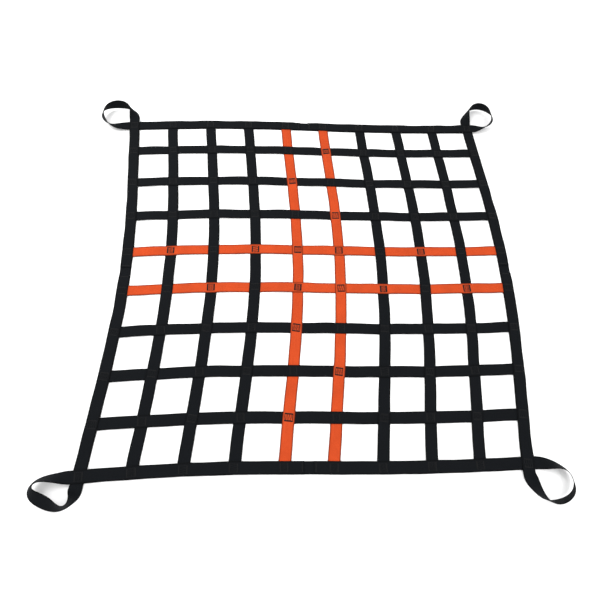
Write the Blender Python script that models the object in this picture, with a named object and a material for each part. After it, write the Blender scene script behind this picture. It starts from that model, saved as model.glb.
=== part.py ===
"""A cargo climbing net of flat woven straps, laid out on the floor.

Ten straps run lengthwise and ten run crosswise, over and under one another.
The border is two plies thick: a lower edge strap, then the ends of the inner
straps, then the upper strap of each corner, which also makes the corner loop.
Metres, +Z up, +X to the right, +Y towards the far edge.
"""
import math

import bpy
from mathutils import Vector

# ---------------------------------------------------------------- driving sizes
STRAP_WIDTH = 0.051
STRAP_THICKNESS = 0.0025
CLEARANCE = 0.0003
STRAPS_EACH_WAY = 10
PITCH = 0.1975
FAR_ROW_SHARE = 0.83          # the far row of cells is shorter than the others
END_INSET = 0.003             # inner straps stop this far inside the border's outer edge
MID_CELL_FLAT_HALF = 0.020    # half of the flat stretch of an edge strap beside a corner
TAIL_END_GAP = 0.020          # from the middle of the centre cell to the end of a tail
LOOP_LEAD = 0.012             # the loop leaves the corner square straight for this far
FLAT_SHARE = 0.62             # half of a flat stretch at a crossing, in strap widths
RAMP_STEPS = 3
LOOP_FINE_STEPS = 480
LOOP_STATION_SPACING = 0.0075

BLACK = (0.012, 0.013, 0.015)
ORANGE = (0.855, 0.087, 0.028)
WEBBING_ROUGHNESS = 0.72

# ---------------------------------------------------------------- tied sizes
LEVEL_STEP = STRAP_THICKNESS + CLEARANCE
FLAT_HALF = FLAT_SHARE * STRAP_WIDTH
LAST = STRAPS_EACH_WAY - 1
ACROSS_SPAN = LAST * PITCH
ALONG_SPAN = (LAST - 1 + FAR_ROW_SHARE) * PITCH
CENTRE_STRAPS = (LAST // 2, LAST // 2 + 1)

# ---------------------------------------------------------------- the corner loops
# Each loop stands partly on its edge. A row is a point the strap is drawn towards:
# out along the crosswise border, out along the lengthwise border and height, all in
# millimetres, then the roll of the strap in degrees (0 flat, 90 on its outer edge).
LOOP_ROUTES = {
    "far_left": ((110, -5, 15, -25), (140, 10, 30, -85), (160, 45, 50, -125), (145, 100, 45, -120),
                 (95, 130, 30, -80), (45, 125, 30, -85), (0, 95, 30, -110)),
    "far_right": ((90, 0, 20, -50), (125, 10, 30, -80), (145, 45, 45, -140), (140, 105, 40, -110),
                  (95, 150, 30, -90), (30, 130, 30, -95), (0, 70, 25, -120)),
    "near_left": ((60, 0, 15, 35), (150, -5, 35, 75), (165, 45, 60, 50), (105, 80, 30, 5),
                  (45, 110, 40, 50), (5, 115, 35, 100), (-5, 80, 30, 85)),
    "near_right": ((80, 5, 10, 25), (145, 25, 35, 80), (165, 65, 40, 45), (170, 125, 35, 85),
                   (100, 160, 25, 120), (40, 145, 30, 95), (0, 75, 35, 60)),
}
# The strap of a far loop turns half over on its way round; a near one comes back same side up.
LOOP_END_ROLLS = {"far_left": -180, "far_right": -180, "near_left": 0, "near_right": 0}


# ---------------------------------------------------------------- how the net lies
def across_heading(distance):
    """Direction of every crosswise strap, as an angle from +X."""
    share = distance / (ACROSS_SPAN / 2)
    return math.radians(0.5 - 1.8 * math.cos(math.pi * share) - 1.0 * share)


def along_heading(distance):
    """Direction of every lengthwise strap, as an angle from +Y."""
    share = distance / (ALONG_SPAN / 2)
    return math.radians(5.6 * math.sin(2.1 * share) - 0.7)


def travel(heading, distance, first_axis, second_axis):
    """Where a strap gets to after a distance from the middle of the net."""
    steps = 24
    place = Vector((0, 0, 0))
    for step in range(steps):
        angle = heading(distance * (step + 0.5) / steps)
        place += (first_axis * math.cos(angle) + second_axis * math.sin(angle)) * (distance / steps)
    return place


def lay(across, along):
    """The floor point under a pair of distances from the middle of the net."""
    sideways = travel(across_heading, across, Vector((1, 0, 0)), Vector((0, 1, 0)))
    lengthwise = travel(along_heading, along, Vector((0, 1, 0)), Vector((-1, 0, 0)))
    return sideways + lengthwise


def column_place(column):
    return (column - LAST / 2) * PITCH


def row_place(row):
    """Row 0 is the far border; rows count towards the near border."""
    if row == 0:
        return ALONG_SPAN / 2
    return ALONG_SPAN / 2 - (row - 1 + FAR_ROW_SHARE) * PITCH


def lengthwise_is_on_top(row, column):
    return (row + column) % 2 == 0


# ---------------------------------------------------------------- rise and fall of a strap
def smooth(share):
    return share * share * (3 - 2 * share)


def level_at(place, stops):
    """Ply level of a strap; a stop is (place, level, half of the flat stretch there)."""
    for stop, next_stop in zip(stops, stops[1:]):
        ramp_start = stop[0] + stop[2]
        ramp_end = next_stop[0] - next_stop[2]
        if place <= ramp_start:
            return stop[1]
        if place < ramp_end:
            share = (place - ramp_start) / (ramp_end - ramp_start)
            return stop[1] + (next_stop[1] - stop[1]) * smooth(share)
    return stops[-1][1]


def station_places(stops, begin, finish):
    """Where a strap needs a cross-section: both ends and along every ramp."""
    places = [begin]
    for stop, next_stop in zip(stops, stops[1:]):
        ramp_start = stop[0] + stop[2]
        ramp_end = next_stop[0] - next_stop[2]
        for step in range(RAMP_STEPS + 1):
            place = ramp_start + (ramp_end - ramp_start) * step / RAMP_STEPS
            if begin + CLEARANCE < place < finish - CLEARANCE:
                places.append(place)
    places.append(finish)
    return places


def middle_of(level):
    return level * LEVEL_STEP + STRAP_THICKNESS / 2


# ---------------------------------------------------------------- solid straps
TOP_SIDE = 2                  # of the four sides of a strap's section, counted from the underside


def make_strap(name, stations, colour, twisted=False):
    """A closed strap through stations of (centre, width direction, thickness direction).

    A twisted strap is made of triangles, because its four-sided faces would not be flat. Its
    top and underside are split corner above corner, so that they stay a thickness apart.
    """
    vertices = []
    for centre, width_way, thick_way in stations:
        half_width = width_way * (STRAP_WIDTH / 2)
        half_thick = thick_way * (STRAP_THICKNESS / 2)
        vertices.append(centre - half_width - half_thick)
        vertices.append(centre + half_width - half_thick)
        vertices.append(centre + half_width + half_thick)
        vertices.append(centre - half_width + half_thick)
    faces = [(3, 2, 1, 0)]
    for station in range(len(stations) - 1):
        near_ring = station * 4
        far_ring = near_ring + 4
        for side in range(4):
            next_side = (side + 1) % 4
            face = (near_ring + side, near_ring + next_side, far_ring + next_side, far_ring + side)
            if not twisted:
                faces.append(face)
            elif side == TOP_SIDE:
                faces.append((face[0], face[1], face[3]))
                faces.append((face[1], face[2], face[3]))
            else:
                faces.append((face[0], face[1], face[2]))
                faces.append((face[0], face[2], face[3]))
    last_ring = (len(stations) - 1) * 4
    faces.append((last_ring, last_ring + 1, last_ring + 2, last_ring + 3))
    mesh = bpy.data.meshes.new(name)
    mesh.from_pydata([tuple(vertex) for vertex in vertices], [], faces)
    mesh.validate()
    strap = bpy.data.objects.new(name, mesh)
    bpy.context.collection.objects.link(strap)
    mesh.materials.append(make_webbing(name + "_webbing", colour))
    return strap


def make_webbing(name, colour):
    material = bpy.data.materials.new(name)
    material.use_nodes = True
    shader = material.node_tree.nodes["Principled BSDF"]
    shader.inputs["Base Color"].default_value = (*colour, 1)
    shader.inputs["Roughness"].default_value = WEBBING_ROUGHNESS
    shader.inputs["Metallic"].default_value = 0
    return material


def lengthwise_stations(column, stops, begin, finish):
    stations = []
    for place in station_places(stops, begin, finish):
        centre = lay(column_place(column), place)
        centre.z = middle_of(level_at(place, stops))
        angle = along_heading(place)
        # The width runs from right to left so that every strap is built the same way round.
        width_way = Vector((-math.cos(angle), -math.sin(angle), 0))
        stations.append((centre, width_way, Vector((0, 0, 1))))
    return stations


def crosswise_stations(row, stops, begin, finish):
    stations = []
    for place in station_places(stops, begin, finish):
        centre = lay(place, row_place(row))
        centre.z = middle_of(level_at(place, stops))
        angle = across_heading(place)
        width_way = Vector((-math.sin(angle), math.cos(angle), 0))
        stations.append((centre, width_way, Vector((0, 0, 1))))
    return stations


# ---------------------------------------------------------------- the fold across the middle
FOLD_ROWS = (LAST // 2, LAST // 2 + 1)
FOLD_ALONG = (row_place(FOLD_ROWS[0]) + row_place(FOLD_ROWS[1])) / 2
FOLD_Y = lay(0, FOLD_ALONG).y
FOLD_HEIGHT = 2 * LEVEL_STEP


def fold_place(column):
    """Where a lengthwise strap crosses the straight fold line."""
    place = FOLD_ALONG
    for _ in range(6):
        place += FOLD_Y - lay(column_place(column), place).y
    return place


def make_lengthwise_pair(name, column, stops, begin, finish, colour):
    """One lengthwise strap as its near half and its far half."""
    cut = fold_place(column)
    near = make_strap(name + "_near", lengthwise_stations(column, stops, begin, cut - CLEARANCE / 2), colour)
    far = make_strap(name + "_far", lengthwise_stations(column, stops, cut + CLEARANCE / 2, finish), colour)
    return near, far


# ---------------------------------------------------------------- inner straps
def strap_colour(index):
    return ORANGE if index in CENTRE_STRAPS else BLACK


def make_inner_lengthwise_straps():
    halves = []
    reach = STRAP_WIDTH / 2 - END_INSET
    for column in range(1, LAST):
        stops = []
        for row in range(LAST, -1, -1):
            at_border = row in (0, LAST)
            level = 1 if at_border or lengthwise_is_on_top(row, column) else 0
            stops.append((row_place(row), level, FLAT_HALF))
        halves.append(make_lengthwise_pair("lengthwise_strap_%d" % column, column, stops,
                                           row_place(LAST) - reach, row_place(0) + reach,
                                           strap_colour(column)))
    return halves


def make_inner_crosswise_straps():
    straps = []
    reach = STRAP_WIDTH / 2 - END_INSET
    for row in range(1, LAST):
        stops = []
        for column in range(STRAPS_EACH_WAY):
            at_border = column in (0, LAST)
            level = 0 if lengthwise_is_on_top(row, column) and not at_border else 1
            stops.append((column_place(column), level, FLAT_HALF))
        stations = crosswise_stations(row, stops, column_place(0) - reach, column_place(LAST) + reach)
        straps.append(make_strap("crosswise_strap_%d" % row, stations, strap_colour(row)))
    return straps


# ---------------------------------------------------------------- the lower ply of the border
def make_edge_straps():
    """The far and near edge straps are whole; the left and right ones are cut at the fold."""
    half = STRAP_WIDTH / 2
    across_stops = [(column_place(column), 0, FLAT_HALF) for column in range(STRAPS_EACH_WAY)]
    whole = []
    for row, name in ((0, "far_edge_strap"), (LAST, "near_edge_strap")):
        stations = crosswise_stations(row, across_stops, column_place(0) - half, column_place(LAST) + half)
        whole.append(make_strap(name, stations, BLACK))
    near_middle = (row_place(LAST) + row_place(LAST - 1)) / 2
    far_middle = (row_place(0) + row_place(1)) / 2
    along_stops = [(row_place(LAST), 1, FLAT_HALF), (near_middle, 0, MID_CELL_FLAT_HALF)]
    for row in range(LAST - 1, 0, -1):
        along_stops.append((row_place(row), 0, FLAT_HALF))
    along_stops += [(far_middle, 0, MID_CELL_FLAT_HALF), (row_place(0), 1, FLAT_HALF)]
    halves = []
    for column, name in ((0, "left_edge_strap"), (LAST, "right_edge_strap")):
        halves.append(make_lengthwise_pair(name, column, along_stops, row_place(LAST) - half,
                                           row_place(0) + half, BLACK))
    return whole, halves


# ---------------------------------------------------------------- the upper ply of the border
CORNERS = {
    "far_left": (0, 0),
    "far_right": (0, LAST),
    "near_left": (LAST, 0),
    "near_right": (LAST, LAST),
}


def corner_levels(row, column):
    """Ply level of the crosswise tail and of the lengthwise tail at a corner square."""
    return (2, 3) if lengthwise_is_on_top(row, column) else (3, 2)


def tail_stops(places, corner_level):
    """Stops from the corner inwards; past the corner a tail stays level on the inner straps."""
    return [(places[0], corner_level, FLAT_HALF)] + [(place, 2, FLAT_HALF) for place in places[1:]]


def make_tails(corner):
    row, column = CORNERS[corner]
    across_level, along_level = corner_levels(row, column)

    columns = range(0, LAST // 2 + 2) if column == 0 else range(LAST, LAST // 2 - 1, -1)
    stops = tail_stops([column_place(index) for index in columns], across_level)
    end = (column_place(LAST // 2) + column_place(LAST // 2 + 1)) / 2
    if column == 0:
        begin, finish = column_place(0) - FLAT_HALF, end - TAIL_END_GAP
    else:
        stops.reverse()
        begin, finish = end + TAIL_END_GAP, column_place(LAST) + FLAT_HALF
    across_tail = make_strap(corner + "_tail_across", crosswise_stations(row, stops, begin, finish), BLACK)

    rows = range(LAST, FOLD_ROWS[0] - 1, -1) if row == LAST else range(0, FOLD_ROWS[1] + 1)
    stops = tail_stops([row_place(index) for index in rows], along_level)
    end = fold_place(column)
    if row == LAST:
        begin, finish = row_place(LAST) - FLAT_HALF, end - TAIL_END_GAP
    else:
        stops.reverse()
        begin, finish = end + TAIL_END_GAP, row_place(0) + FLAT_HALF
    along_tail = make_strap(corner + "_tail_along", lengthwise_stations(column, stops, begin, finish), BLACK)
    return across_tail, along_tail


# ---------------------------------------------------------------- corner loops
def smooth_path(rows, steps):
    """Evenly stepped points of the smooth curve drawn towards a list of rows."""
    rows = [rows[0]] * 2 + list(rows) + [rows[-1]] * 2
    pieces = len(rows) - 3
    points = []
    for step in range(steps + 1):
        along = min(step / steps * pieces, pieces - 1e-9)
        piece = int(along)
        part = along - piece
        weights = ((1 - part) ** 3 / 6,
                   (3 * part ** 3 - 6 * part ** 2 + 4) / 6,
                   (-3 * part ** 3 + 3 * part ** 2 + 3 * part + 1) / 6,
                   part ** 3 / 6)
        points.append([sum(weight * rows[piece + index][axis] for index, weight in enumerate(weights))
                       for axis in range(4)])
    return points


def spaced_out(places, spacing):
    """Indices of the places that are at least a spacing apart, with both ends among them."""
    kept = [0]
    for index in range(1, len(places) - 1):
        far_from_last = (places[index] - places[kept[-1]]).length >= spacing
        far_from_end = (places[-1] - places[index]).length >= spacing * 0.6
        if far_from_last and far_from_end:
            kept.append(index)
    return kept + [len(places) - 1]


def corner_ways(corner):
    """Corner point, outward crosswise direction and outward lengthwise direction."""
    row, column = CORNERS[corner]
    point = lay(column_place(column), row_place(row))
    across_angle = across_heading(column_place(column))
    along_angle = along_heading(row_place(row))
    across_way = Vector((math.cos(across_angle), math.sin(across_angle), 0))
    along_way = Vector((-math.sin(along_angle), math.cos(along_angle), 0))
    if column == 0:
        across_way.negate()
    if row == LAST:
        along_way.negate()
    return point, across_way, along_way


def loop_stations(corner):
    point, across_way, along_way = corner_ways(corner)
    across_level, along_level = corner_levels(*CORNERS[corner])
    start = FLAT_HALF + CLEARANCE
    second = start + LOOP_LEAD
    rows = [(start, 0, middle_of(across_level), 0), (second, 0, middle_of(across_level), 0)]
    for across, along, height, roll in LOOP_ROUTES[corner]:
        rows.append((across / 1000, along / 1000, height / 1000, math.radians(roll)))
    end_roll = math.radians(LOOP_END_ROLLS[corner])
    rows += [(0, second, middle_of(along_level), end_roll), (0, start, middle_of(along_level), end_roll)]
    path = smooth_path(rows, LOOP_FINE_STEPS)
    centres = [point + across_way * across + along_way * along + Vector((0, 0, height))
               for across, along, height, _ in path]
    turn = 1 if across_way.cross(along_way).z > 0 else -1
    kept = spaced_out(centres, LOOP_STATION_SPACING)
    # A loop leaves and comes back square to the ends of its tails.
    headings = [(centres[after] - centres[before]).normalized() for before, after in zip(kept, kept[2:])]
    headings = [across_way] + headings + [-along_way]
    stations = []
    for step, ahead in zip(kept, headings):
        up = (Vector((0, 0, 1)) - ahead * ahead.z).normalized()
        inward = up.cross(ahead) * turn
        roll = path[step][3]
        width_way = inward * math.cos(roll) + up * math.sin(roll)
        thick_way = ahead.cross(width_way)
        stations.append((centres[step], width_way, thick_way))
    return stations


def make_loop(corner):
    return make_strap(corner + "_loop", loop_stations(corner), BLACK, twisted=True)


# ---------------------------------------------------------------- pivots
def make_pivot(name, place, children):
    pivot = bpy.data.objects.new(name, None)
    pivot.location = place
    bpy.context.collection.objects.link(pivot)
    bpy.context.view_layer.update()
    for child in children:
        child.parent = pivot
        child.matrix_parent_inverse = pivot.matrix_world.inverted()
    return pivot


def centre_on_origin(parts):
    """Put the middle of the whole net's outline over the origin; it rests at height zero."""
    corners = [vertex.co for part in parts for vertex in part.data.vertices]
    low = [min(corner[axis] for corner in corners) for axis in range(3)]
    high = [max(corner[axis] for corner in corners) for axis in range(3)]
    shift = Vector((-(low[0] + high[0]) / 2, -(low[1] + high[1]) / 2, 0))
    print("lowest point", round(low[2], 5))
    for part in parts:
        for vertex in part.data.vertices:
            vertex.co += shift
        part.data.update()
    return shift


# ---------------------------------------------------------------- build
def build():
    for leftover in list(bpy.data.objects):
        bpy.data.objects.remove(leftover)
    lengthwise = make_inner_lengthwise_straps()
    crosswise = make_inner_crosswise_straps()
    whole_edges, edge_halves = make_edge_straps()
    tails = {corner: make_tails(corner) for corner in CORNERS}
    loops = {corner: make_loop(corner) for corner in CORNERS}

    far_parts = [pair[1] for pair in lengthwise + edge_halves] + [whole_edges[0]]
    near_parts = [pair[0] for pair in lengthwise + edge_halves] + [whole_edges[1]]
    for row, strap in enumerate(crosswise, start=1):
        (far_parts if row <= FOLD_ROWS[0] else near_parts).append(strap)
    for corner in CORNERS:
        (far_parts if CORNERS[corner][0] == 0 else near_parts).extend(tails[corner])

    shift = centre_on_origin(near_parts + far_parts + list(loops.values()))
    fold_pivot = make_pivot("net_fold_pivot", Vector((0, FOLD_Y, FOLD_HEIGHT)) + shift, far_parts)
    print("fold pivot", [round(value, 5) for value in fold_pivot.location])
    for corner, loop in loops.items():
        point, across_way, along_way = corner_ways(corner)
        place = point + shift + Vector((0, 0, 4 * LEVEL_STEP))
        pivot = make_pivot(corner + "_loop_pivot", place, [loop])
        print(corner, "pivot", [round(value, 5) for value in pivot.location])


build()
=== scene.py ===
# %% [markdown]
# A cargo climbing net, finished
#
# The net is a flat web of woven straps that cross over and under one another, with every crossing
# sewn down and a loop at each corner to hang it by. The plain solids come from the frame, which
# also says which half of the net or which loop each of them moves with. This script gives every
# strap its true woven form and finish, and keeps every size and place the frame has.

# %% The frame
import math

import bpy
import numpy as np
from mathutils import Matrix, Vector


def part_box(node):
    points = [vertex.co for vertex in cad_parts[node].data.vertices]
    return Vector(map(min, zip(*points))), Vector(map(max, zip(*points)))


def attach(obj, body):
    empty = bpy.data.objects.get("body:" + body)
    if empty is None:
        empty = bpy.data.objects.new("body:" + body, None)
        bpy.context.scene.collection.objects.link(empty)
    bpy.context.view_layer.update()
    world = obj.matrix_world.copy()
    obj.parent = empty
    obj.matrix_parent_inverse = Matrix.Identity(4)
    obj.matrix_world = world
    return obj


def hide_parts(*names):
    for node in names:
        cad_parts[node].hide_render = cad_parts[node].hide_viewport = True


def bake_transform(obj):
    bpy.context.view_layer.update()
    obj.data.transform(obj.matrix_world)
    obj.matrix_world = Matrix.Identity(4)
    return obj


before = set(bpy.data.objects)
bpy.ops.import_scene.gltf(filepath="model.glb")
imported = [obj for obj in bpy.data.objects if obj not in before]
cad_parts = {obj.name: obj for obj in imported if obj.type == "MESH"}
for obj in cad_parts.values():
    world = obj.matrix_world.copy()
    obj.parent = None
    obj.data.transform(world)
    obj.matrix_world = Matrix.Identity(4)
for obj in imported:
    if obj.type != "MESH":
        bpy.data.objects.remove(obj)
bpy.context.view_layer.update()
bpy.ops.object.select_all(action="DESELECT")

# %% [markdown]
# The camera stands over the near edge of the net and looks down on it with a wide lens, as
# somebody holding a camera overhead would. It is turned a little to the left of the lengthwise
# straps and tipped a little sideways. One matrix can hold all of that: start looking straight
# down, tip up towards the far edge, then turn on the spot. That keeps each angle a separate,
# readable number.

# %% The camera
CAMERA_PLACE = Vector((-0.126, -1.028, 2.038))
CAMERA_TILT = 23.4            # degrees up from looking straight down
CAMERA_HEADING = -8.0
CAMERA_ROLL = 7.2
LENS_MM = 29.0

camera_data = bpy.data.cameras.new("camera")
camera_data.lens = LENS_MM
camera_data.sensor_width = 36
camera = bpy.data.objects.new("camera", camera_data)
bpy.context.collection.objects.link(camera)
camera.matrix_world = (Matrix.Translation(CAMERA_PLACE)
                       @ Matrix.Rotation(math.radians(CAMERA_HEADING), 4, "Z")
                       @ Matrix.Rotation(math.radians(CAMERA_TILT), 4, "X")
                       @ Matrix.Rotation(math.radians(CAMERA_ROLL), 4, "Z"))
bpy.context.scene.camera = camera
print("camera at", tuple(round(value, 3) for value in camera.location))

# %% [markdown]
# The colours are written as they are named on a display, and a shader works in linear light, so
# one function turns one into the other. A second adds a node with its settings and links in one
# line, which keeps the long chains of a weave readable.

# %% Colours and nodes
def linear_colour(hex_code):
    """A display colour such as "c04921" as linear values for a shader."""
    channels = [int(hex_code[index:index + 2], 16) / 255 for index in (0, 2, 4)]
    return tuple(value / 12.92 if value <= 0.04045 else ((value + 0.055) / 1.055) ** 2.4
                 for value in channels) + (1.0,)


def add_node(tree, kind, settings=None, inputs=None):
    """Adds a node; an input is either a fixed value or the output of another node."""
    node = tree.nodes.new(kind)
    for name, value in (settings or {}).items():
        setattr(node, name, value)
    for key, value in (inputs or {}).items():
        if isinstance(value, bpy.types.NodeSocket):
            tree.links.new(value, node.inputs[key])
        else:
            node.inputs[key].default_value = value
    return node


print("c04921 is", tuple(round(value, 3) for value in linear_colour("c04921")))

# %% [markdown]
# A white studio sweep with light from all round makes the pale ground and shows the true colours
# of the webbing. A large lamp high on one side gives the straps a little modelling, so that the
# over and under of the weave can be read. The colours are shown as they are, with no film look,
# because the webbing's own black and orange are what matters here. The sweep is painted a matt
# white, which is rough all over and bright without being a mirror.

# %% Floor and light
FLOOR_SIZE = 14.0
FLOOR_DROP = 0.0004           # room for most of the depth of the thread on the underside
FLOOR_WHITE = (0.94, 0.94, 0.94, 1)
SURROUND_STRENGTH = 1.22

scene = bpy.context.scene
scene.view_settings.view_transform = "Standard"
world = bpy.data.worlds.new("studio")
scene.world = world
world.use_nodes = True
world.node_tree.nodes["Background"].inputs["Color"].default_value = (1, 1, 1, 1)
world.node_tree.nodes["Background"].inputs["Strength"].default_value = SURROUND_STRENGTH


def add_lamp(name, place, target, size, watts):
    """A square soft lamp that faces the target."""
    lamp_data = bpy.data.lights.new(name, "AREA")
    lamp_data.size = size
    lamp_data.energy = watts
    lamp = bpy.data.objects.new(name, lamp_data)
    lamp.location = place
    lamp.rotation_euler = (Vector(target) - Vector(place)).to_track_quat("-Z", "Y").to_euler()
    bpy.context.collection.objects.link(lamp)
    return lamp


add_lamp("high_soft_lamp", (-1.8, 1.2, 3.4), (0, 0, 0), 2.4, 110)
add_lamp("near_soft_lamp", (1.6, -2.2, 3.0), (0, 0, 0), 2.0, 45)

bpy.ops.mesh.primitive_plane_add(size=FLOOR_SIZE, location=(0, 0, -FLOOR_DROP))
floor = bpy.context.active_object
floor.name = "floor"
sweep = bpy.data.materials.new("matt_white_studio_paint")
sweep.use_nodes = True
sweep_shader = sweep.node_tree.nodes["Principled BSDF"]
sweep_shader.inputs["Base Color"].default_value = FLOOR_WHITE
sweep_shader.inputs["Roughness"].default_value = 0.9
floor.data.materials.append(sweep)
print("floor", FLOOR_SIZE, "m square")

# %% [markdown]
# The net does not lie quite square. Cloth straps cannot stretch, but the squares of a net can
# lean, so the whole net keeps the same two curves: every crosswise strap has one bend and every
# lengthwise strap has another. Adding a point of one curve to a point of the other gives the floor
# place of any point of the net. The curves are worked out from how the straps head, because that
# keeps their lengths true.

# %% How the net lies
STRAP_WIDTH = 0.051
PITCH = 0.1975
FAR_ROW_SHARE = 0.83          # the far row of cells is shorter than the others
STRAPS_EACH_WAY = 10
LAST = STRAPS_EACH_WAY - 1
ACROSS_SPAN = LAST * PITCH
ALONG_SPAN = (LAST - 1 + FAR_ROW_SHARE) * PITCH
LEVEL_STEP = 0.0028           # one ply of webbing and the hair of space above it
CAD_THICKNESS = 0.0025
FLAT_HALF = 0.62 * STRAP_WIDTH
MID_CELL_FLAT_HALF = 0.020
TABLE_STEPS = 2000
TABLE_SPARE = 0.1             # the tables reach this far past the outermost straps


def across_heading(distance):
    """Direction of every crosswise strap, as an angle from +X."""
    share = distance / (ACROSS_SPAN / 2)
    return np.radians(0.5 - 1.8 * np.cos(np.pi * share) - 1.0 * share)


def along_heading(distance):
    """Direction of every lengthwise strap, as an angle from +Y."""
    share = distance / (ALONG_SPAN / 2)
    return np.radians(5.6 * np.sin(2.1 * share) - 0.7)


def travel_table(heading, reach):
    """Distances from the middle, and how far ahead and sideways a strap has got at each."""
    distance = np.linspace(-reach, reach, TABLE_STEPS + 1)
    angle = heading(distance)
    step = distance[1] - distance[0]
    ahead = np.concatenate(([0], np.cumsum((np.cos(angle[1:]) + np.cos(angle[:-1])) / 2 * step)))
    sideways = np.concatenate(([0], np.cumsum((np.sin(angle[1:]) + np.sin(angle[:-1])) / 2 * step)))
    ahead -= np.interp(0, distance, ahead)
    sideways -= np.interp(0, distance, sideways)
    return distance, ahead, sideways


ACROSS_TABLE = travel_table(across_heading, ACROSS_SPAN / 2 + TABLE_SPARE)
ALONG_TABLE = travel_table(along_heading, ALONG_SPAN / 2 + TABLE_SPARE)


def lay_flat(across, along):
    """Floor place of points given by their distances from the middle of the net."""
    across_distance, across_ahead, across_sideways = ACROSS_TABLE
    along_distance, along_ahead, along_sideways = ALONG_TABLE
    x = (np.interp(across, across_distance, across_ahead)
         - np.interp(along, along_distance, along_sideways))
    y = (np.interp(across, across_distance, across_sideways)
         + np.interp(along, along_distance, along_ahead))
    return np.stack(np.broadcast_arrays(x, y), axis=-1)


def column_place(column):
    return (column - LAST / 2) * PITCH


def row_place(row):
    """Row 0 is the far border; rows count towards the near border."""
    if row == 0:
        return ALONG_SPAN / 2
    return ALONG_SPAN / 2 - (row - 1 + FAR_ROW_SHARE) * PITCH


def lengthwise_is_on_top(row, column):
    return (row + column) % 2 == 0


print("spans", round(ACROSS_SPAN, 4), "and", round(ALONG_SPAN, 4), "m between the outermost straps")

# %% [markdown]
# The frame has its origin in the middle of the whole outline, loops and all, and the curves have
# theirs in the middle of the straps. The two could be matched by eye, but a measured piece is
# surer: the far edge strap is in both places, so its box says how far the two origins are apart.

# %% Onto the frame's origin
edge_places = np.linspace(column_place(0) - STRAP_WIDTH / 2, column_place(LAST) + STRAP_WIDTH / 2, 200)
edge_line = lay_flat(edge_places, row_place(0))
edge_angle = across_heading(edge_places)
edge_side = np.stack([-np.sin(edge_angle), np.cos(edge_angle)], axis=-1) * STRAP_WIDTH / 2
edge_outline = np.concatenate([edge_line - edge_side, edge_line + edge_side])
far_low, far_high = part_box("far_edge_strap")
frame_middle = (np.array(far_low[:2]) + np.array(far_high[:2])) / 2
FRAME_SHIFT = frame_middle - (edge_outline.min(0) + edge_outline.max(0)) / 2
print("shift to the frame's origin", FRAME_SHIFT.round(5))


def lay(across, along):
    return lay_flat(across, along) + FRAME_SHIFT

# %% [markdown]
# Webbing is woven flat and tight, so a strap bends easily over its face and hardly at all edge to
# edge. Each strap is therefore a line of cross-sections that know which way the strap faces. The
# section is nearly a box with soft, slightly thinner edges, the selvedges, where the weft turns
# back. Building the band from its sections gives exact texture coordinates for the weave: one runs
# along the strap and one across it, both in metres. The bands are built straight from points,
# because a strap on edge or half turned over has no simple outline to extrude.

# %% Bands of webbing
THICKNESS = 0.0026
SELVEDGE = 0.0035             # width of the rounded edge
SECTION = [(-1.0, 0.0), (-0.985, 0.34), (-0.94, 0.43), (-0.86, 0.5), (-0.45, 0.5), (0.0, 0.5),
           (0.45, 0.5), (0.86, 0.5), (0.94, 0.43), (0.985, 0.34), (1.0, 0.0), (0.985, -0.34),
           (0.94, -0.43), (0.86, -0.5), (0.45, -0.5), (0.0, -0.5), (-0.45, -0.5), (-0.86, -0.5),
           (-0.94, -0.43), (-0.985, -0.34)]
print("points around a strap", len(SECTION))


def make_band(name, centres, width_ways, thick_ways, distances):
    """A closed band of webbing through its cross-sections, with texture coordinates in metres."""
    stations = len(centres)
    around = len(SECTION)
    section = np.array(SECTION)
    sides = section[:, 0] * STRAP_WIDTH / 2
    lifts = section[:, 1] * THICKNESS
    points = (centres[:, None, :] + width_ways[:, None, :] * sides[None, :, None]
              + thick_ways[:, None, :] * lifts[None, :, None]).reshape(-1, 3)
    faces = []
    uvs = []
    for station in range(stations - 1):
        for side in range(around):
            following = (side + 1) % around
            first = station * around
            second = first + around
            faces.append((first + side, second + side, second + following, first + following))
            low_u = sides[side]
            high_u = sides[following]
            uvs += [(low_u, distances[station]), (low_u, distances[station + 1]),
                    (high_u, distances[station + 1]), (high_u, distances[station])]
    faces.append(tuple(range(around)))
    uvs += [(sides[side], distances[0]) for side in range(around)]
    last = (stations - 1) * around
    faces.append(tuple(last + side for side in reversed(range(around))))
    uvs += [(sides[side], distances[-1]) for side in reversed(range(around))]
    mesh = bpy.data.meshes.new(name)
    mesh.from_pydata(points.tolist(), [], faces)
    layer = mesh.uv_layers.new(name="weave")
    layer.data.foreach_set("uv", np.array(uvs).ravel())
    mesh.polygons.foreach_set("use_smooth", [True] * (len(faces) - 2) + [False] * 2)
    mesh.update()
    band = bpy.data.objects.new(name, mesh)
    bpy.context.collection.objects.link(band)
    return band

# %% [markdown]
# At every crossing the two straps lie one on the other, and between crossings a strap drifts up or
# down to its next ply. A real strap does that in one long easy slope, because webbing is springy,
# and it never lies dead flat: its edges lift by a millimetre or two where the weave was pulled
# tighter on one side. A few long slow waves, different on each strap and small beside the slope,
# give that slack look. The lift and the roll fade out under the stitching, where the plies are
# held together, and only the slight wander sideways goes on.

# %% Heights along a strap
STATION_STEP = 0.0065
STITCHED_HALF = 0.019         # half of the square that is sewn down
SEAM_FADE = 0.03              # the waves grow over this length beyond a seam
WAVE_LENGTHS = (0.41, 0.27, 0.163)


def smooth(share):
    share = np.clip(share, 0, 1)
    return share * share * (3 - 2 * share)


def ply_heights(places, stops):
    """Height of the middle of a strap; a stop is (place, ply level, half of the flat stretch)."""
    heights = np.full(len(places), stops[0][1], dtype=float)
    for stop, next_stop in zip(stops, stops[1:]):
        ramp_start = stop[0] + stop[2]
        ramp_end = next_stop[0] - next_stop[2]
        inside = places > ramp_start
        share = smooth((places - ramp_start) / (ramp_end - ramp_start))
        heights[inside] = (stop[1] + (next_stop[1] - stop[1]) * share)[inside]
    return heights * LEVEL_STEP + CAD_THICKNESS / 2


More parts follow.
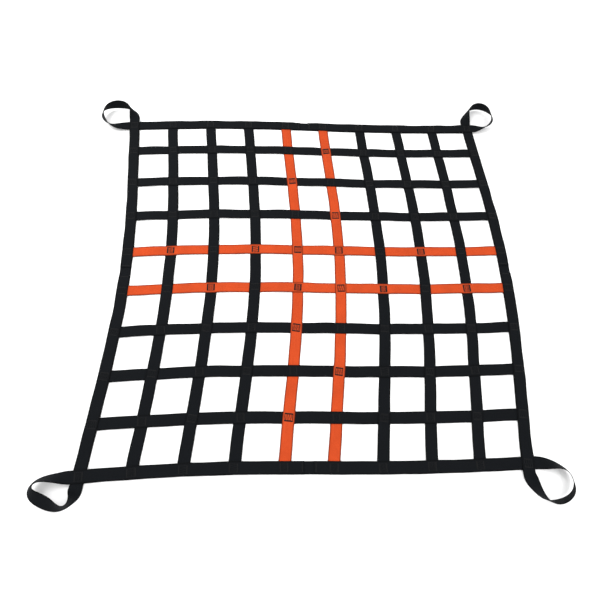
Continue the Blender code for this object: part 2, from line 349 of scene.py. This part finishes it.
def held_share(places, stops):
    """1 where a strap is sewn down and 0 well away from any seam."""
    nearest = np.min([np.abs(places - stop[0]) for stop in stops if stop[3]], axis=0)
    return 1 - smooth((nearest - STITCHED_HALF) / SEAM_FADE)


def slow_waves(places, random):
    """A gentle random curve of height one at the most."""
    total = np.zeros(len(places))
    for length in WAVE_LENGTHS:
        total += np.sin(2 * np.pi * (places / length + random.random())) / len(WAVE_LENGTHS)
    return total


print("sections along a strap every", STATION_STEP * 1000, "mm")

# %% [markdown]
# Webbing for climbing nets is woven from polyester yarn in a ribbed twill. Seen close, it is a row
# of narrow ribs along the strap, each rib crossed by slanting threads, with a closer, smoother rib
# at each selvedge. The ribs are drawn from the texture coordinates, which are in metres, so their
# width is a real one: about one rib to a millimetre. The yarn is shiny where it lies and dull where
# it dips, so the dips are rougher and lower, and their colour is darker as painted shade between the
# ribs. Straps rub on hands and floors, so the colour also drifts a little over a few centimetres.
# The colour is also darkened towards each edge, as painted shade along the strap's edges.

# %% Woven webbing
RIB_WIDTH = 0.00105           # one warp rib
PICK_LENGTH = 0.00125         # one weft thread to the next, along the strap
TWILL_SHIFT = 0.5             # how far each rib's threads are offset from its neighbour's
# Painted shade along each edge of a strap: its colour darkens towards the edge over this width, down to
# this share at the very edge.
PAINTED_EDGE_SHADE_WIDTH = 0.0070       # the darker line fades out over this width
PAINTED_EDGE_SHADE_LEAST = 0.18
TONE_LOW, TONE_HIGH = 0.84, 1.16


def webbing_material(name, yarn, painted_shade_dip, sheen_tint, roughness):
    """Woven webbing; yarn is the colour on top of a rib and painted_shade_dip the colour between ribs,
    darkened there as painted shade.
    """
    material = bpy.data.materials.new(name)
    material.use_nodes = True
    tree = material.node_tree
    shader = tree.nodes["Principled BSDF"]
    place = add_node(tree, "ShaderNodeUVMap", {"uv_map": "weave"})
    split = add_node(tree, "ShaderNodeSeparateXYZ", inputs={0: place.outputs["UV"]})
    across = split.outputs["X"]
    along = split.outputs["Y"]

    def calc(operation, first, second=0.0):
        node = add_node(tree, "ShaderNodeMath", {"operation": operation}, {0: first, 1: second})
        return node.outputs[0]

    # Ribs: a rounded ridge for every rib across the strap.
    rib_number = calc("DIVIDE", across, RIB_WIDTH)
    rib_wave = calc("ABSOLUTE", calc("SINE", calc("MULTIPLY", rib_number, math.pi)))
    # Threads: a slanting step along each rib, offset from rib to rib.
    shifted = calc("ADD", calc("DIVIDE", along, PICK_LENGTH), calc("MULTIPLY", rib_number, TWILL_SHIFT))
    thread_wave = calc("ABSOLUTE", calc("SINE", calc("MULTIPLY", shifted, math.pi)))
    weave = calc("MULTIPLY", calc("POWER", rib_wave, 0.6), calc("POWER", thread_wave, 0.5))
    # Selvedges: no ribs in the last few millimetres.
    distance_in = calc("SUBTRACT", STRAP_WIDTH / 2, calc("ABSOLUTE", across))
    body_share = add_node(tree, "ShaderNodeMapRange", inputs={
        "Value": distance_in, "From Min": SELVEDGE * 0.5, "From Max": SELVEDGE}).outputs[0]
    # Wear: a slow drift of colour, and single yarns a shade lighter or darker.
    drift = add_node(tree, "ShaderNodeTexNoise", {"noise_dimensions": "3D"}, {
        "Vector": add_node(tree, "ShaderNodeTexCoord").outputs["Object"], "Scale": 14.0,
        "Detail": 3.0}).outputs["Fac"]
    streak_place = add_node(tree, "ShaderNodeCombineXYZ", inputs={
        "X": calc("MULTIPLY", across, 1 / RIB_WIDTH), "Y": calc("MULTIPLY", along, 9.0)})
    streak = add_node(tree, "ShaderNodeTexNoise", inputs={
        "Vector": streak_place.outputs[0], "Scale": 0.9, "Detail": 2.0}).outputs["Fac"]
    tone = calc("ADD", calc("MULTIPLY", drift, 0.45), calc("MULTIPLY", streak, 0.55))

    # The colour between the ribs is darker than on top, as painted shade in the hollows of the weave.
    rib_colour_with_painted_shade = add_node(tree, "ShaderNodeMix", {"data_type": "RGBA"}, {
        "Factor": weave, "A": painted_shade_dip, "B": yarn})
    colour_with_painted_shade_and_tone = add_node(tree, "ShaderNodeMix", {"data_type": "RGBA", "blend_type": "MULTIPLY"}, {
        "Factor": 1.0, "A": rib_colour_with_painted_shade.outputs["Result"]})
    # Painted shade: the colour darkens towards each edge of the strap.
    painted_edge_shade = add_node(tree, "ShaderNodeMapRange", inputs={
        "Value": distance_in, "From Max": PAINTED_EDGE_SHADE_WIDTH, "To Min": PAINTED_EDGE_SHADE_LEAST}).outputs[0]
    # The painted edge shade is multiplied by the random tone, and the result darkens the weave colour.
    shade = calc("MULTIPLY", painted_edge_shade, add_node(tree, "ShaderNodeMapRange", inputs={
        "Value": tone, "From Min": 0.3, "From Max": 0.7,
        "To Min": TONE_LOW, "To Max": TONE_HIGH}).outputs[0])
    grey = add_node(tree, "ShaderNodeCombineColor", inputs={"Red": shade, "Green": shade, "Blue": shade})
    tree.links.new(grey.outputs[0], colour_with_painted_shade_and_tone.inputs["B"])
    tree.links.new(colour_with_painted_shade_and_tone.outputs["Result"], shader.inputs["Base Color"])

    rough = add_node(tree, "ShaderNodeMapRange", inputs={
        "Value": weave, "To Min": min(roughness + 0.2, 1.0), "To Max": roughness}).outputs[0]
    tree.links.new(rough, shader.inputs["Roughness"])
    shader.inputs["Sheen Weight"].default_value = 0.02
    shader.inputs["Specular IOR Level"].default_value = 0.07
    shader.inputs["Sheen Roughness"].default_value = 0.4
    shader.inputs["Sheen Tint"].default_value = sheen_tint
    height = calc("MULTIPLY", weave, body_share)
    bump = add_node(tree, "ShaderNodeBump", inputs={
        "Height": height, "Strength": 0.55, "Distance": 0.0003})
    tree.links.new(bump.outputs["Normal"], shader.inputs["Normal"])
    return material


# The second colour of each webbing is its colour between the ribs, darkened as painted shade.
BLACK_WEBBING = webbing_material("black_woven_polyester_webbing", linear_colour("0c0f13"),
                                 linear_colour("040506"), linear_colour("8c95a3"), 0.66)
ORANGE_WEBBING = webbing_material("orange_woven_polyester_webbing", linear_colour("c04921"),
                                  linear_colour("8d2d12"), linear_colour("ffb090"), 0.7)
print("materials", [material.name for material in (BLACK_WEBBING, ORANGE_WEBBING)])

# %% [markdown]
# A strap that lies on the floor is known by its row or column, so its line and its heading come
# from the two curves of the lay. Its height comes from the plies, and its slight waves from its own
# random numbers. From these the function works out which way the strap's width and thickness point
# at every section, and how far along the webbing the section is.

# %% Sections of a lying strap
MARGIN = 0.003                # inner straps end this far inside the border's outer edge
WAVE_SIDEWAYS = 0.0011
WAVE_LIFT = 0.0009
WAVE_ROLL = 0.045             # radians


def strap_sections(lengthwise, index, stops, begin, finish, random, slack=1.0):
    """Cross-sections of a strap that lies on the floor; slack is how freely it lifts and rolls."""
    places = np.linspace(begin, finish, int((finish - begin) / STATION_STEP) + 2)
    if lengthwise:
        line = lay(column_place(index), places)
        angle = along_heading(places)
        side_way = np.stack([-np.cos(angle), -np.sin(angle), np.zeros(len(places))], axis=1)
    else:
        line = lay(places, row_place(index))
        angle = across_heading(places)
        side_way = np.stack([-np.sin(angle), np.cos(angle), np.zeros(len(places))], axis=1)
    loose = (1 - held_share(places, stops)) * slack
    heights = ply_heights(places, stops)
    centres = np.column_stack([line, heights + loose * WAVE_LIFT * (1 + slow_waves(places, random))])
    centres += side_way * (slow_waves(places, random) * WAVE_SIDEWAYS)[:, None]
    roll = loose * WAVE_ROLL * slow_waves(places, random)
    up = np.array([0.0, 0.0, 1.0])
    width_ways = side_way * np.cos(roll)[:, None] + up * np.sin(roll)[:, None]
    # An edge that rolls down would go into the floor, so the middle rises by as much.
    centres[:, 2] += np.abs(np.sin(roll)) * STRAP_WIDTH / 2
    ahead = np.gradient(centres, axis=0)
    ahead /= np.linalg.norm(ahead, axis=1)[:, None]
    thick_ways = np.cross(ahead, width_ways)
    thick_ways /= np.linalg.norm(thick_ways, axis=1)[:, None]
    distances = np.concatenate([[0], np.cumsum(np.linalg.norm(np.diff(centres, axis=0), axis=1))])
    return centres, width_ways, thick_ways, distances


# %% [markdown]
# The long straps come first. Each one is a single length of webbing, so each is one piece even
# where the frame has a near half and a far half. The over and under is worked out from the row and
# column alone, as the weaver does it: lengthwise on top, then crosswise on top, turn about. The two
# straps in the middle each way are orange.

# %% The inner straps
CENTRE_STRAPS = (LAST // 2, LAST // 2 + 1)
INNER_FLAT_HALF = FLAT_HALF * 0.62
REACH = STRAP_WIDTH / 2 - MARGIN


def finish_strap(band, index, nodes, colour_by_index=True):
    """Material, material slot and the solids that a strap stands for."""
    orange = colour_by_index and index in CENTRE_STRAPS
    band.data.materials.append(ORANGE_WEBBING if orange else BLACK_WEBBING)
    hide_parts(*nodes)


strap_random = np.random.default_rng(12)
for column in range(1, LAST):
    stops = []
    for row in range(LAST, -1, -1):
        on_border = row in (0, LAST)
        level = 1 if on_border or lengthwise_is_on_top(row, column) else 0
        stops.append((row_place(row), level, INNER_FLAT_HALF, True))
    sections = strap_sections(True, column, stops, row_place(LAST) - REACH, row_place(0) + REACH,
                              strap_random)
    name = "lengthwise_strap_%d" % column
    band = make_band(name + "_webbing", *sections)
    finish_strap(band, column, (name + "_near", name + "_far"))
    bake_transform(band)

for row in range(1, LAST):
    stops = []
    for column in range(STRAPS_EACH_WAY):
        on_border = column in (0, LAST)
        level = 0 if lengthwise_is_on_top(row, column) and not on_border else 1
        stops.append((column_place(column), level, INNER_FLAT_HALF, True))
    sections = strap_sections(False, row, stops, column_place(0) - REACH, column_place(LAST) + REACH,
                              strap_random)
    name = "crosswise_strap_%d" % row
    band = make_band(name + "_webbing", *sections)
    finish_strap(band, row, (name,))
    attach(band, "far_half" if row <= LAST // 2 else "near_half")

print("inner straps", 2 * (LAST - 1))

# %% [markdown]
# The border is a strap all round under the ends of the inner straps. It lies on the floor along its
# whole length, except where the side straps climb over the far and near ones at the corners. Being
# held down by another strap on top of it, it has no slack of its own to lift or roll.

# %% The lower border
half = STRAP_WIDTH / 2
for row, name in ((0, "far_edge_strap"), (LAST, "near_edge_strap")):
    stops = [(column_place(column), 0, FLAT_HALF, True) for column in range(STRAPS_EACH_WAY)]
    sections = strap_sections(False, row, stops, column_place(0) - half, column_place(LAST) + half,
                              strap_random, slack=0)
    band = make_band(name + "_webbing", *sections)
    finish_strap(band, row, (name,))
    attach(band, "far_half" if row == 0 else "near_half")

for column, name in ((0, "left_edge_strap"), (LAST, "right_edge_strap")):
    near_middle = (row_place(LAST) + row_place(LAST - 1)) / 2
    far_middle = (row_place(0) + row_place(1)) / 2
    stops = [(row_place(LAST), 1, FLAT_HALF, True), (near_middle, 0, MID_CELL_FLAT_HALF, False)]
    stops += [(row_place(row), 0, FLAT_HALF, True) for row in range(LAST - 1, 0, -1)]
    stops += [(far_middle, 0, MID_CELL_FLAT_HALF, False), (row_place(0), 1, FLAT_HALF, True)]
    sections = strap_sections(True, column, stops, row_place(LAST) - half, row_place(0) + half,
                              strap_random, slack=0)
    band = make_band(name + "_webbing", *sections)
    finish_strap(band, column, (name + "_near", name + "_far"))
    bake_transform(band)
print("border straps", 4)

# %% [markdown]
# Each corner is one more length of webbing. It comes in along one border on top of the plies
# there, leaves the corner, swings round in the air as a loop, comes back across its own start and
# runs off along the other border. So it is drawn as one ribbon. The far loops turn half over on
# their way round; the near ones come back the same side up. The loop is where the rope or the hook
# goes, and the two tails stay sewn to the net.
#
# A loop could be set up as a simulation, but cloth that stiff keeps the shape it was handled into.
# So its route is drawn as a curve through the air, with the roll of the strap carried along with
# it. Each row is a point the strap is drawn towards: how far out along the crosswise border, how
# far out along the lengthwise border and how high, in millimetres, and then the roll in degrees.

# %% Routes of the corner loops
LOOP_ROUTES = {
    "far_left": ((110, -5, 15, -25), (140, 10, 30, -85), (160, 45, 50, -125), (145, 100, 45, -120),
                 (95, 130, 30, -80), (45, 125, 30, -85), (0, 95, 30, -110)),
    "far_right": ((90, 0, 20, -50), (125, 10, 30, -80), (145, 45, 45, -140), (140, 105, 40, -110),
                  (95, 150, 30, -90), (30, 130, 30, -95), (0, 70, 25, -120)),
    "near_left": ((60, 0, 15, 35), (150, -5, 35, 75), (165, 45, 60, 50), (105, 80, 30, 5),
                  (45, 110, 40, 50), (5, 115, 35, 100), (-5, 80, 30, 85)),
    "near_right": ((80, 5, 10, 25), (145, 25, 35, 80), (165, 65, 40, 45), (170, 125, 35, 85),
                   (100, 160, 25, 120), (40, 145, 30, 95), (0, 75, 35, 60)),
}
LOOP_END_ROLLS = {"far_left": -180, "far_right": -180, "near_left": 0, "near_right": 0}
CORNERS = {"far_left": (0, 0), "far_right": (0, LAST),
           "near_left": (LAST, 0), "near_right": (LAST, LAST)}
LOOP_LEAD = 0.012             # a loop leaves its corner square straight for this far
LOOP_START = FLAT_HALF + 0.0003
LOOP_FINE_STEPS = 400


def drawn_path(rows, steps):
    """Points of the smooth curve that is drawn towards each row in turn."""
    rows = np.array([rows[0]] * 2 + list(rows) + [rows[-1]] * 2, dtype=float)
    pieces = len(rows) - 3
    along = np.minimum(np.linspace(0, pieces, steps + 1), pieces - 1e-9)
    piece = along.astype(int)
    part = (along - piece)[:, None]
    weights = ((1 - part) ** 3, 3 * part ** 3 - 6 * part ** 2 + 4,
               -3 * part ** 3 + 3 * part ** 2 + 3 * part + 1, part ** 3)
    return sum(weight / 6 * rows[piece + index] for index, weight in enumerate(weights))


print("loops", list(LOOP_ROUTES))

# %% [markdown]
# A tail lies on top of its border and is sewn down with it at every crossing. There it has the
# inner strap's end and the edge strap below it, and between crossings it only has the edge strap,
# so it dips one ply. It ends near the middle of its side, flat and with a bar of stitches.

# %% Tails
TAIL_END_GAP = 0.020          # a tail ends this far short of the middle of its last cell
TAIL_END_FLAT = 0.016         # it lies flat here, sewn down to the strap below


def tail_stitched_places(corner, lengthwise):
    """Where the crossings under a tail are, from its corner on to the one past its free end."""
    row, column = CORNERS[corner]
    if lengthwise:
        steps = range(LAST, LAST // 2 - 1, -1) if row == LAST else range(0, LAST // 2 + 2)
        return [row_place(step) for step in steps]
    steps = range(0, LAST // 2 + 2) if column == 0 else range(LAST, LAST // 2 - 1, -1)
    return [column_place(step) for step in steps]


def tail_free_end(stitched):
    """Place of a tail's free end, and +1 or -1 for the way from its corner to there."""
    inward = math.copysign(1, stitched[1] - stitched[0])
    return (stitched[-2] + stitched[-1]) / 2 - inward * TAIL_END_GAP, inward


def tail_sections(corner, lengthwise, random):
    """Cross-sections of a tail, from its free end to the outer side of the corner square."""
    row, column = CORNERS[corner]
    on_top = lengthwise_is_on_top(row, column)
    level = (3 if on_top else 2) if lengthwise else (2 if on_top else 3)
    stitched = tail_stitched_places(corner, lengthwise)
    free_end, inward = tail_free_end(stitched)
    stops = [(stitched[0], level, FLAT_HALF, True)]
    for place, next_place in zip(stitched[:-1], stitched[1:-1]):
        stops.append(((place + next_place) / 2, 1, MID_CELL_FLAT_HALF, False))
        stops.append((next_place, 2, FLAT_HALF, True))
    stops.append((free_end, 1, TAIL_END_FLAT, True))
    outer_end = stitched[0] - inward * FLAT_HALF
    if inward < 0:
        stops.reverse()
    low, high = sorted((free_end, outer_end))
    index = column if lengthwise else row
    centres, width_ways, _, _ = strap_sections(lengthwise, index, stops, low, high, random)
    if inward > 0:
        # Sections run from low to high; the free end is the high one here, so turn them round.
        centres, width_ways = centres[::-1], -width_ways[::-1]
    return centres, width_ways


print("crossings under a tail", len(tail_stitched_places("far_left", False)) - 1)

# %% [markdown]
# The loop's own sections are worked out along its drawn curve. Up is taken square to the way the
# strap runs and inward square to both, and the roll turns the width from inward towards up. The
# curve's points bunch where it bends, so the sections are spread evenly along its length again.

# %% Loops
def loop_sections(corner):
    """Cross-sections of a loop, from the crosswise border round to the lengthwise border."""
    row, column = CORNERS[corner]
    on_top = lengthwise_is_on_top(row, column)
    across_level, along_level = (2, 3) if on_top else (3, 2)
    across_height = across_level * LEVEL_STEP + CAD_THICKNESS / 2
    along_height = along_level * LEVEL_STEP + CAD_THICKNESS / 2
    lead = LOOP_START + LOOP_LEAD
    rows = [(LOOP_START, 0, across_height, 0), (lead, 0, across_height, 0)]
    for across, along, height, roll in LOOP_ROUTES[corner]:
        rows.append((across / 1000, along / 1000, height / 1000, math.radians(roll)))
    end_roll = math.radians(LOOP_END_ROLLS[corner])
    rows += [(0, lead, along_height, end_roll), (0, LOOP_START, along_height, end_roll)]
    path = drawn_path(rows, LOOP_FINE_STEPS)

    across_angle = across_heading(column_place(column))
    along_angle = along_heading(row_place(row))
    across_way = np.array([math.cos(across_angle), math.sin(across_angle), 0])
    across_way *= -1 if column == 0 else 1
    along_way = np.array([-math.sin(along_angle), math.cos(along_angle), 0])
    along_way *= -1 if row == LAST else 1
    corner_point = np.array([*lay(column_place(column), row_place(row)), 0])
    centres = corner_point + path[:, :1] * across_way + path[:, 1:2] * along_way
    centres[:, 2] += path[:, 2]
    travelled = np.concatenate([[0], np.cumsum(np.linalg.norm(np.diff(centres, axis=0), axis=1))])
    even = np.linspace(0, travelled[-1], int(travelled[-1] / STATION_STEP) + 2)
    roll = np.interp(even, travelled, path[:, 3])
    centres = np.stack([np.interp(even, travelled, centres[:, axis]) for axis in range(3)], axis=1)
    ahead = np.gradient(centres, axis=0)
    ahead /= np.linalg.norm(ahead, axis=1)[:, None]
    up = np.array([0.0, 0.0, 1.0]) - ahead * ahead[:, 2:]
    up /= np.linalg.norm(up, axis=1)[:, None]
    turn = 1 if np.cross(across_way, along_way)[2] > 0 else -1
    inward = np.cross(up, ahead) * turn
    width_ways = inward * np.cos(roll)[:, None] + up * np.sin(roll)[:, None]
    return centres, width_ways, corner_point, across_way, along_way


print("a loop leaves its corner", round(LOOP_START * 1000, 1), "mm from its middle")

# %% [markdown]
# Now tail, loop and tail are joined into one ribbon. Where they meet, the roll and the height
# change at once, which stiff webbing can't do, so the sections are averaged with their neighbours
# a few times. The ribbon is sewn to the net at the corner square.

# %% One ribbon for each corner
SOFTEN_PASSES = 6


def soften(values):
    """Averages each section with its two neighbours a few times, and leaves both ends alone."""
    values = values.copy()
    for _ in range(SOFTEN_PASSES):
        values[1:-1] = (values[:-2] + 2 * values[1:-1] + values[2:]) / 4
    return values


for corner, (row, column) in CORNERS.items():
    across_tail = tail_sections(corner, False, strap_random)
    along_tail = tail_sections(corner, True, strap_random)
    loop_centres, loop_widths, corner_point, across_way, along_way = loop_sections(corner)
    # The ribbon runs tail, loop, tail; the second tail is taken backwards, from the corner in.
    second = [part[::-1] for part in along_tail]
    first_side = math.copysign(1, np.dot(across_tail[1][-1], loop_widths[0]))
    second_side = math.copysign(1, np.dot(second[1][0], loop_widths[-1]))
    centres = soften(np.concatenate([across_tail[0], loop_centres[1:-1], second[0]]))
    width_ways = soften(np.concatenate([across_tail[1] * first_side, loop_widths[1:-1],
                                        second[1] * second_side]))
    width_ways /= np.linalg.norm(width_ways, axis=1)[:, None]
    ahead = np.gradient(centres, axis=0)
    ahead /= np.linalg.norm(ahead, axis=1)[:, None]
    thick_ways = np.cross(ahead, width_ways)
    thick_ways /= np.linalg.norm(thick_ways, axis=1)[:, None]
    distances = np.concatenate([[0], np.cumsum(np.linalg.norm(np.diff(centres, axis=0), axis=1))])
    band = make_band(corner + "_corner_strap_webbing", centres, width_ways, thick_ways, distances)
    finish_strap(band, row, (corner + "_loop", corner + "_tail_across", corner + "_tail_along"), False)
    half_body = "far_half" if row == 0 else "near_half"
    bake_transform(band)
    loop_length = np.sum(np.linalg.norm(np.diff(loop_centres, axis=0), axis=1))
    print(corner, "loop", round(float(loop_length) * 1000), "mm")

# %% [markdown]
# Every crossing is sewn with a box tack: a square of thread with a strong bar at both ends, where a
# bar-tack machine goes to and fro, and rows of plain stitches between. It always lines up with the
# strap on top, because that is the one the operator sees, and no two sit quite alike. At arm's
# length the tacks are the net's most telling detail, so each stitch is a real raised bead. One bead
# is modelled, and its copies are joined into one piece for each part of the net that moves.

# %% One stitch
BEAD_TURN = 58.3              # degrees; a flat face then looks along the bead, so its ends are blunt

bpy.ops.object.select_all(action="DESELECT")
bpy.ops.mesh.primitive_ico_sphere_add(subdivisions=1, radius=0.5)
stitch = bpy.context.active_object
bpy.ops.object.mode_set(mode="EDIT")
bpy.ops.mesh.select_all(action="SELECT")
bpy.ops.transform.rotate(value=math.radians(BEAD_TURN), orient_axis="Y", center_override=(0, 0, 0))
bpy.ops.object.mode_set(mode="OBJECT")
STITCH_POINTS = np.array([vertex.co for vertex in stitch.data.vertices])
STITCH_POINTS /= np.ptp(STITCH_POINTS, axis=0)      # a bead one unit long, wide and high
STITCH_FACES = np.array([polygon.vertices for polygon in stitch.data.polygons])
bpy.data.objects.remove(stitch)
print("faces in a stitch", len(STITCH_FACES))

# %% [markdown]
# A tack is drawn as stitches on a flat square and then laid on its crossing. The bars go in first,
# then the two sides of the box, and then the rows inside, which either run straight across or zig
# and zag from bar to bar. Sizes, slips and turns are a little different on every one, from one
# seeded row of random numbers. The same stitches are laid again, mirrored, on the underside.

# %% Box tacks
THREAD_WIDTH = 0.0028         # three times real thread (0.9 mm), which is too fine to show
THREAD_HEIGHT = 0.0009
TACK_HALF = 0.0165
BAR_WIDTH = 0.0066
BAR_STITCHES = 26
ROW_STITCHES = 8
STITCH_GAP = 0.08             # share of a stitch left bare at each of its ends
STRAIGHT_SHARE = 0.6          # this share of the tacks has straight rows
ROW_WANDER = 0.0006
TACK_LENGTHS = (0.84, 0.98)   # least and most, as a share of the full half size
TACK_WIDTHS = (0.94, 1.04)
TACK_ROWS = (6, 9)            # six to eight rows inside the box
TACK_TURN = 3.5               # degrees
TACK_SLIP = 0.0013


def row_of_stitches(start, end, count):
    """Straight stitches, end to end, as rows of (start x, start y, end x, end y)."""
    places = np.linspace(0, 1, count + 1)[:, None]
    points = np.array(start) + (np.array(end) - np.array(start)) * places
    gap = (points[1] - points[0]) * STITCH_GAP
    return np.hstack([points[:-1] + gap, points[1:] - gap])


def bar_of_stitches(x, half):
    """A dense bar across the strap: slanting stitches laid side by side."""
    y = np.linspace(-half, half, BAR_STITCHES + 1)
    lean = np.where(np.arange(BAR_STITCHES) % 2 == 0, 1, -1) * BAR_WIDTH / 2
    return np.stack([x - lean, y[:-1], x + lean, y[1:]], axis=1)


def box_tack(random):
    """The stitches of one box tack; x runs along the upper strap and y across it."""
    length = TACK_HALF * random.uniform(*TACK_LENGTHS)
    width = TACK_HALF * random.uniform(*TACK_WIDTHS)
    rows = [bar_of_stitches(-length, width), bar_of_stitches(length, width)]
    for side in (-1, 1):
        rows.append(row_of_stitches((-length, side * width), (length, side * width), ROW_STITCHES))
    count = int(random.integers(*TACK_ROWS))
    if random.random() < STRAIGHT_SHARE:
        for x in np.linspace(-length, length, count + 2)[1:-1]:
            x += random.uniform(-ROW_WANDER, ROW_WANDER)
            rows.append(row_of_stitches((x, -width), (x, width), ROW_STITCHES))
    else:
        ends = np.linspace(-width, width, count + 2)
        for stroke in range(count + 1):
            x = length if stroke % 2 else -length
            rows.append(row_of_stitches((x, ends[stroke]), (-x, ends[stroke + 1]), ROW_STITCHES + 1))
    return np.concatenate(rows)


def lay_stitches(rows, point, heading, height, turned_over, random):
    """Places a tack's stitches on a strap that heads at this angle from +X."""
    angle = heading + math.radians(random.uniform(-TACK_TURN, TACK_TURN))
    ahead = np.array([math.cos(angle), math.sin(angle)])
    aside = np.array([-ahead[1], ahead[0]]) * (-1 if turned_over else 1)
    slip = random.uniform(-TACK_SLIP, TACK_SLIP, 2)
    starts = point + slip + rows[:, :1] * ahead + rows[:, 1:2] * aside
    ends = point + slip + rows[:, 2:3] * ahead + rows[:, 3:] * aside
    return np.column_stack([starts, ends, np.full(len(rows), height)])


print("stitches in a bar", BAR_STITCHES)

# %% [markdown]
# Rows of stitches become one piece by placing the bead's points along every stitch at once. There
# are some twenty-six thousand stitches. An object for each would take minutes, and this takes a
# blink.

# %% Beads into thread
def make_thread(name, laid):
    """One piece from rows of (start x, start y, end x, end y, height)."""
    starts, ends = laid[:, :2], laid[:, 2:4]
    lengths = np.linalg.norm(ends - starts, axis=1)
    ahead = (ends - starts) / lengths[:, None]
    aside = np.stack([-ahead[:, 1], ahead[:, 0]], axis=1)
    middle = (starts + ends) / 2
    flat = (middle[:, None] + ahead[:, None] * (STITCH_POINTS[None, :, :1] * lengths[:, None, None])
            + aside[:, None] * (STITCH_POINTS[None, :, 1:2] * THREAD_WIDTH))
    high = laid[:, 4:5] + STITCH_POINTS[None, :, 2] * THREAD_HEIGHT
    points = np.concatenate([flat, high[:, :, None]], axis=2).reshape(-1, 3)
    offsets = np.arange(len(laid))[:, None, None] * len(STITCH_POINTS)
    faces = (STITCH_FACES[None] + offsets).reshape(-1, 3)
    mesh = bpy.data.meshes.new(name)
    mesh.from_pydata(points.tolist(), [], faces.tolist())
    mesh.polygons.foreach_set("use_smooth", [True] * len(faces))
    piece = bpy.data.objects.new(name, mesh)
    bpy.context.collection.objects.link(piece)
    mesh.materials.append(THREAD)
    return piece


print("thread", THREAD_WIDTH * 1000, "mm wide")

# %% [markdown]
# Sewing thread for webbing is bonded nylon, a thick smooth three-ply twist with a wax-like bond on
# it. It is as black as the dark straps, so it hardly shows on them except as a row of small
# glints, and reads as a dark square on the orange ones. A fine slanting ridge gives the twist.

# %% Thread
SPECK_SCALE = 900.0
TWIST_SCALE = 420.0           # a slanting ridge about every 1.5 mm


def thread_material(name, colour):
    material = bpy.data.materials.new(name)
    material.use_nodes = True
    tree = material.node_tree
    shader = tree.nodes["Principled BSDF"]
    place = add_node(tree, "ShaderNodeTexCoord").outputs["Object"]
    speck = add_node(tree, "ShaderNodeTexNoise", inputs={
        "Vector": place, "Scale": SPECK_SCALE, "Detail": 1.0})
    tint = add_node(tree, "ShaderNodeMix", {"data_type": "RGBA"}, {
        "Factor": speck.outputs["Fac"], "A": colour, "B": linear_colour("101113")})
    tree.links.new(tint.outputs["Result"], shader.inputs["Base Color"])
    twist = add_node(tree, "ShaderNodeTexWave", {"bands_direction": "DIAGONAL"}, {
        "Vector": place, "Scale": TWIST_SCALE, "Distortion": 1.5})
    bump = add_node(tree, "ShaderNodeBump", inputs={
        "Height": twist.outputs["Fac"], "Strength": 0.4, "Distance": 0.0002})
    tree.links.new(bump.outputs["Normal"], shader.inputs["Normal"])
    shader.inputs["Roughness"].default_value = 0.55
    shader.inputs["Specular IOR Level"].default_value = 0.12
    return material


THREAD = thread_material("bonded_nylon_sewing_thread", linear_colour("040506"))
print("material", THREAD.name)

# %% [markdown]
# Every crossing gets its tack on both faces. The border's crossings have three plies and the
# corners four, so the stitches sit higher there. A half of the net carries its own stitches, and
# the tack on top of a corner square is a piece of its own. The free end of every tail has one bar.

# %% Sewing the crossings
TAIL_BAR_INSET = 0.008        # a tail's bar of stitches is this far in from its end
UNDERSIDE = CAD_THICKNESS / 2 - THICKNESS / 2
FACE_ABOVE_MIDDLE = CAD_THICKNESS / 2 + THICKNESS / 2
tack_random = np.random.default_rng(5)
top_rows = {"near_half": [], "far_half": []}
under_rows = {"near_half": [], "far_half": []}
corner_rows = {}
for row in range(STRAPS_EACH_WAY):
    for column in range(STRAPS_EACH_WAY):
        border_row = row in (0, LAST)
        border_column = column in (0, LAST)
        corner = border_row and border_column
        if border_row != border_column:
            lengthwise_top = border_column
        else:
            lengthwise_top = lengthwise_is_on_top(row, column)
        top_level = 3 if corner else 2 if border_row or border_column else 1
        if lengthwise_top:
            heading = math.pi / 2 + along_heading(row_place(row))
        else:
            heading = across_heading(column_place(column))
        point = lay(column_place(column), row_place(row))
        height = top_level * LEVEL_STEP + FACE_ABOVE_MIDDLE
        rows = box_tack(tack_random)
        upper = lay_stitches(rows, point, heading, height, False, tack_random)
        lower = lay_stitches(rows, point, heading, UNDERSIDE, True, tack_random)
        half_body = "far_half" if row <= LAST // 2 else "near_half"
        under_rows[half_body].append(lower)
        if corner:
            corner_rows[(row, column)] = upper
        else:
            top_rows[half_body].append(upper)

# The free end of every tail has one bar of its own.
for corner, (row, column) in CORNERS.items():
    for lengthwise in (False, True):
        free_end, inward = tail_free_end(tail_stitched_places(corner, lengthwise))
        place = free_end - inward * TAIL_BAR_INSET
        if lengthwise:
            point, heading = lay(column_place(column), place), math.pi / 2 + along_heading(place)
        else:
            point, heading = lay(place, row_place(row)), across_heading(place)
        top_rows["far_half" if row == 0 else "near_half"].append(
            lay_stitches(bar_of_stitches(0, TACK_HALF), point, heading,
                         LEVEL_STEP + FACE_ABOVE_MIDDLE, False, tack_random))

for half_body in ("near_half", "far_half"):
    upper = make_thread(half_body + "_tacks_top", np.concatenate(top_rows[half_body]))
    under = make_thread(half_body + "_tacks_underside", np.concatenate(under_rows[half_body]))
    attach(upper, half_body)
    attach(under, half_body)
    print(half_body, "stitch triangles", len(upper.data.polygons) + len(under.data.polygons))

for corner, (row, column) in CORNERS.items():
    piece = make_thread(corner + "_corner_tack", corner_rows[(row, column)])
    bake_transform(piece)
